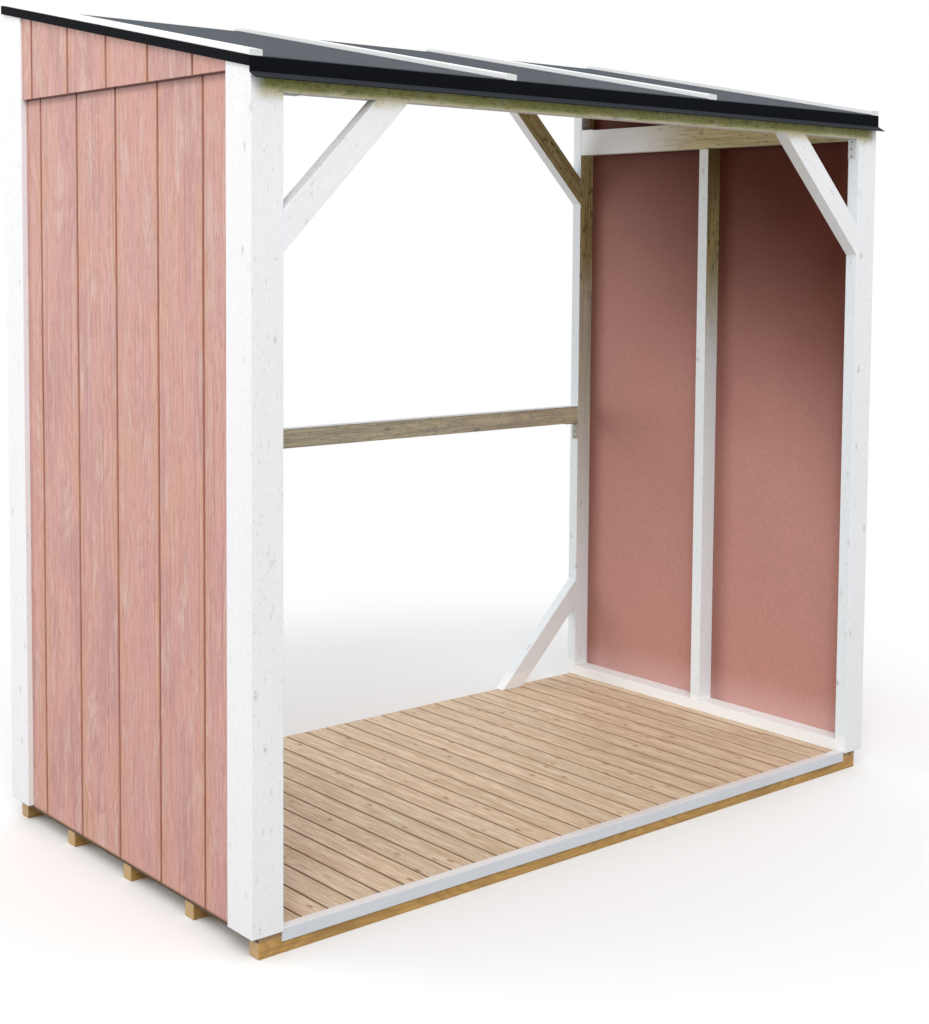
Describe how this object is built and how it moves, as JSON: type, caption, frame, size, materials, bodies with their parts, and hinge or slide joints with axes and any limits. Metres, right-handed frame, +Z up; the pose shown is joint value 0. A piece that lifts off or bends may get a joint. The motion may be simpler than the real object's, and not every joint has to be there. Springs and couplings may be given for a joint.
{
  "type": "log store",
  "caption": "Open-fronted log store with a slatted floor on sleepers, clad side walls, an open braced back and a single-pitch felt roof with battens and dark edge flashings.",
  "frame": {"origin": "centre of the footprint at ground level, on the underside of the middle sleeper", "axes": "+X to the right along the open front, +Y towards the back, +Z up"},
  "size_m": [2.612, 1.467, 2.6265],
  "materials": {
    "treated_timber": "sawn, brown treated",
    "floor_boards": "planed pine boards",
    "edging_metal": "pale grey, satin",
    "white_timber": "white paint over knotty timber",
    "pink_cladding": "salmon stain on grooved, embossed sheet",
    "mossy_timber": "greenish timber",
    "roof_boards": "sawn boards",
    "roof_felt": "mineral felt",
    "white_batten": "white paint",
    "flashing_metal": "black coated steel",
    "bracket_metal": "galvanised"
  },
  "bodies": {
    "root": {"sleeper_front": "treated_timber", "sleeper_front_inner": "treated_timber", "sleeper_middle": "treated_timber", "sleeper_back_inner": "treated_timber", "sleeper_back": "treated_timber", "floor_deck": "floor_boards", "front_edging": "edging_metal", "plate_left": "white_timber", "plate_right": "white_timber", "stud_left": "white_timber", "stud_right": "white_timber", "side_rail_left": "white_timber", "side_rail_right": "white_timber", "post_front_left": "white_timber", "post_front_right": "white_timber", "post_back_left": "white_timber", "post_back_right": "white_timber", "corner_board_front_left": "white_timber", "corner_board_front_right": "white_timber", "corner_board_back_left": "white_timber", "corner_board_back_right": "white_timber", "wall_sheet_left": "pink_cladding", "wall_sheet_right": "pink_cladding", "gable_sheet_left": "pink_cladding", "gable_sheet_right": "pink_cladding", "front_beam": "mossy_timber", "back_beam": "white_timber", "back_rail": "white_timber", "brace_front_left": "white_timber", "brace_front_right": "white_timber", "brace_back_upper_left": "white_timber", "brace_back_upper_right": "white_timber", "brace_back_lower_left": "white_timber", "brace_back_lower_right": "white_timber", "rafter_left": "white_timber", "rafter_right": "white_timber", "roof_deck": "roof_boards", "roof_felt": "roof_felt", "roof_battens": "white_batten", "verge_flashing_left": "flashing_metal", "verge_flashing_right": "flashing_metal", "eaves_flashing": "flashing_metal", "back_flashing": "flashing_metal", "angle_brackets": "bracket_metal"}
  },
  "joints": []
}
